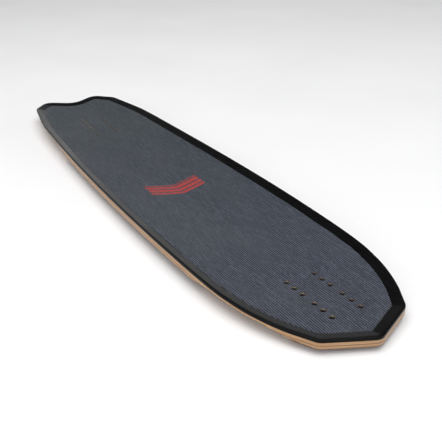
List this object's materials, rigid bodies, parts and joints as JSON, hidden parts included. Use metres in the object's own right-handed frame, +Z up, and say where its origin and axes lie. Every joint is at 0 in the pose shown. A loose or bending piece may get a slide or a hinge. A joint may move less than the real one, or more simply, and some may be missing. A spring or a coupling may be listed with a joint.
{
  "type": "longboard deck",
  "caption": "Bare downhill longboard deck with a swallow tail, pointed nose, raised black rail, wheel wells and countersunk truck holes.",
  "frame": {"origin": "the centre of the deck's box in plan, at its lowest point, under the middle of the deck", "axes": "+X along the deck to the nose, +Y to the rider's left when facing the nose, +Z up out of the standing surface"},
  "size_m": [0.9881, 0.241, 0.0304],
  "materials": {
    "grip_panel": "satin woven texture",
    "edge_rail": "satin black",
    "ply_light": "clear satin, long grain",
    "ply_dark": "clear satin, cross grain",
    "base_sheet": "clear satin"
  },
  "bodies": {
    "root": {"grip_panel": "grip_panel", "edge_rail": "edge_rail", "ply_1": "ply_dark", "ply_2": "ply_light", "ply_3": "ply_dark", "ply_4": "ply_light", "ply_5": "ply_dark", "ply_6": "ply_light", "ply_7": "ply_dark", "ply_8": "ply_light", "base_sheet": "base_sheet"}
  },
  "joints": []
}
